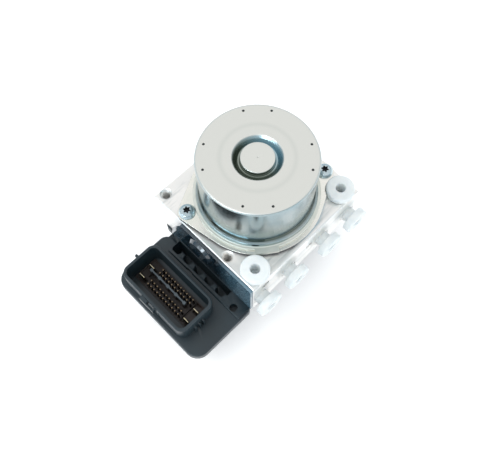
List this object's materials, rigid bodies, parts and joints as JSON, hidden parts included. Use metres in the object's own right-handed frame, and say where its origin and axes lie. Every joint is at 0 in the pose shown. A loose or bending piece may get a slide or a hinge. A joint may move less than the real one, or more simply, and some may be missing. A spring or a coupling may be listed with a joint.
{
  "type": "anti-lock brake modulator",
  "caption": "Anti-lock brake module: machined aluminium valve block with a round pump motor on top, a control unit with plug socket below, and white transport plugs in its ports.",
  "frame": {"origin": "on the underside of the control unit's cover, straight below the motor shaft", "axes": "+Z along the motor shaft, away from the control unit; +X across the block from the plug socket to the free side; -Y is the wheel-port face"},
  "size_m": [0.1615, 0.1102, 0.1217],
  "materials": {
    "machined_aluminium": "satin machined",
    "zinc_plated_can": "zinc plated, satin",
    "end_plate_steel": "zinc plated",
    "zinc_screws": "zinc plated",
    "sealing_rubber": "matte",
    "black_housing_plastic": "fine moulded grain",
    "carrier_plastic": "moulded",
    "white_plug_plastic": "translucent white",
    "hardened_steel": "ground",
    "spring_steel": "drawn wire",
    "laminated_steel": "varnished laminations",
    "copper_wire": "bare copper",
    "valve_steel": "turned",
    "coil_plastic": "moulded",
    "terminal_brass": "tin and gold flashed",
    "magnet_ferrite": "sintered",
    "brush_carbon": "pressed carbon",
    "board_laminate": "solder mask",
    "chip_plastic": "moulded",
    "capacitor_aluminium": "sleeved"
  },
  "bodies": {
    "modulator": {"brush_holder": "carrier_plastic", "capacitors": "capacitor_aluminium", "circuit_board": "board_laminate", "ecu_cover": "black_housing_plastic", "ecu_gasket": "sealing_rubber", "ecu_housing": "black_housing_plastic", "ecu_screws": "zinc_screws", "front_bearing": "hardened_steel", "hydraulic_block": "machined_aluminium", "inlet_coils": "coil_plastic", "inlet_valves": "valve_steel", "microcontroller": "chip_plastic", "motor_can": "zinc_plated_can", "motor_end_plate": "end_plate_steel", "motor_magnets": "magnet_ferrite", "motor_screws": "zinc_screws", "motor_seal": "sealing_rubber", "motor_terminals": "carrier_plastic", "outlet_coils": "coil_plastic", "outlet_valves": "valve_steel", "power_terminals": "terminal_brass", "pump_plug_1": "hardened_steel", "pump_plug_2": "hardened_steel", "pump_spring_1": "spring_steel", "pump_spring_2": "spring_steel", "rear_bearing": "hardened_steel", "reservoir_caps": "machined_aluminium", "reservoir_spring_1": "spring_steel", "reservoir_spring_2": "spring_steel", "side_port_plug_1": "white_plug_plastic", "side_port_plug_2": "white_plug_plastic", "side_port_plug_3": "white_plug_plastic", "side_port_plug_4": "white_plug_plastic", "side_shield": "black_housing_plastic", "signal_terminals": "terminal_brass", "terminal_carrier": "carrier_plastic", "top_port_plug_1": "white_plug_plastic", "top_port_plug_2": "white_plug_plastic", "valve_driver": "chip_plastic"},
    "rotor": {"armature_shaft": "hardened_steel", "armature_core": "laminated_steel", "armature_windings": "copper_wire", "commutator": "copper_wire"},
    "eccentric_bearing": {"eccentric_ring": "hardened_steel"},
    "pump_piston_a": {"pump_piston_1": "hardened_steel"},
    "pump_piston_b": {"pump_piston_2": "hardened_steel"},
    "reservoir_piston_a": {"reservoir_piston_1": "machined_aluminium"},
    "reservoir_piston_b": {"reservoir_piston_2": "machined_aluminium"},
    "brush_a": {"brush_1": "brush_carbon"},
    "brush_b": {"brush_2": "brush_carbon"},
    "inlet_valve_1": {"inlet_plunger_1": "valve_steel"},
    "inlet_valve_2": {"inlet_plunger_2": "valve_steel"},
    "inlet_valve_3": {"inlet_plunger_3": "valve_steel"},
    "inlet_valve_4": {"inlet_plunger_4": "valve_steel"},
    "outlet_valve_1": {"outlet_plunger_1": "valve_steel"},
    "outlet_valve_2": {"outlet_plunger_2": "valve_steel"},
    "outlet_valve_3": {"outlet_plunger_3": "valve_steel"},
    "outlet_valve_4": {"outlet_plunger_4": "valve_steel"}
  },
  "joints": [
    {"name": "motor_shaft", "type": "hinge", "parent": "modulator", "child": "rotor", "pos_m": [0, 0, 0.1], "axis": [0, 0, 1], "continuous": true},
    {"name": "eccentric_ring_turn", "type": "hinge", "parent": "rotor", "child": "eccentric_bearing", "pos_m": [0.001, 0, 0.059], "axis": [0, 0, 1], "continuous": true},
    {"name": "pump_piston_left", "type": "slide", "parent": "modulator", "child": "pump_piston_a", "axis": [-1, 0, 0], "range_m": [0, 0.002], "stiffness_N_per_m": 400, "deforming": ["pump_spring_1"]},
    {"name": "pump_piston_right", "type": "slide", "parent": "modulator", "child": "pump_piston_b", "axis": [1, 0, 0], "range_m": [0, 0.002], "stiffness_N_per_m": 400, "deforming": ["pump_spring_2"]},
    {"name": "reservoir_left", "type": "slide", "parent": "modulator", "child": "reservoir_piston_a", "axis": [0, 1, 0], "range_m": [0, 0.008], "stiffness_N_per_m": 200, "deforming": ["reservoir_spring_1"]},
    {"name": "reservoir_right", "type": "slide", "parent": "modulator", "child": "reservoir_piston_b", "axis": [0, 1, 0], "range_m": [0, 0.008], "stiffness_N_per_m": 200, "deforming": ["reservoir_spring_2"]},
    {"name": "brush_left", "type": "slide", "parent": "modulator", "child": "brush_a", "axis": [-1, 0, 0], "range_m": [0, 0.002], "stiffness_N_per_m": 100},
    {"name": "brush_right", "type": "slide", "parent": "modulator", "child": "brush_b", "axis": [1, 0, 0], "range_m": [0, 0.002], "stiffness_N_per_m": 100},
    {"name": "inlet_valve_1", "type": "slide", "parent": "modulator", "child": "inlet_valve_1", "axis": [0, 0, 1], "range_m": [0, 0.0003], "stiffness_N_per_m": 800},
    {"name": "inlet_valve_2", "type": "slide", "parent": "modulator", "child": "inlet_valve_2", "axis": [0, 0, 1], "range_m": [0, 0.0003], "stiffness_N_per_m": 800},
    {"name": "inlet_valve_3", "type": "slide", "parent": "modulator", "child": "inlet_valve_3", "axis": [0, 0, 1], "range_m": [0, 0.0003], "stiffness_N_per_m": 800},
    {"name": "inlet_valve_4", "type": "slide", "parent": "modulator", "child": "inlet_valve_4", "axis": [0, 0, 1], "range_m": [0, 0.0003], "stiffness_N_per_m": 800},
    {"name": "outlet_valve_1", "type": "slide", "parent": "modulator", "child": "outlet_valve_1", "axis": [0, 0, -1], "range_m": [0, 0.0003], "stiffness_N_per_m": 800},
    {"name": "outlet_valve_2", "type": "slide", "parent": "modulator", "child": "outlet_valve_2", "axis": [0, 0, -1], "range_m": [0, 0.0003], "stiffness_N_per_m": 800},
    {"name": "outlet_valve_3", "type": "slide", "parent": "modulator", "child": "outlet_valve_3", "axis": [0, 0, -1], "range_m": [0, 0.0003], "stiffness_N_per_m": 800},
    {"name": "outlet_valve_4", "type": "slide", "parent": "modulator", "child": "outlet_valve_4", "axis": [0, 0, -1], "range_m": [0, 0.0003], "stiffness_N_per_m": 800}
  ]
}
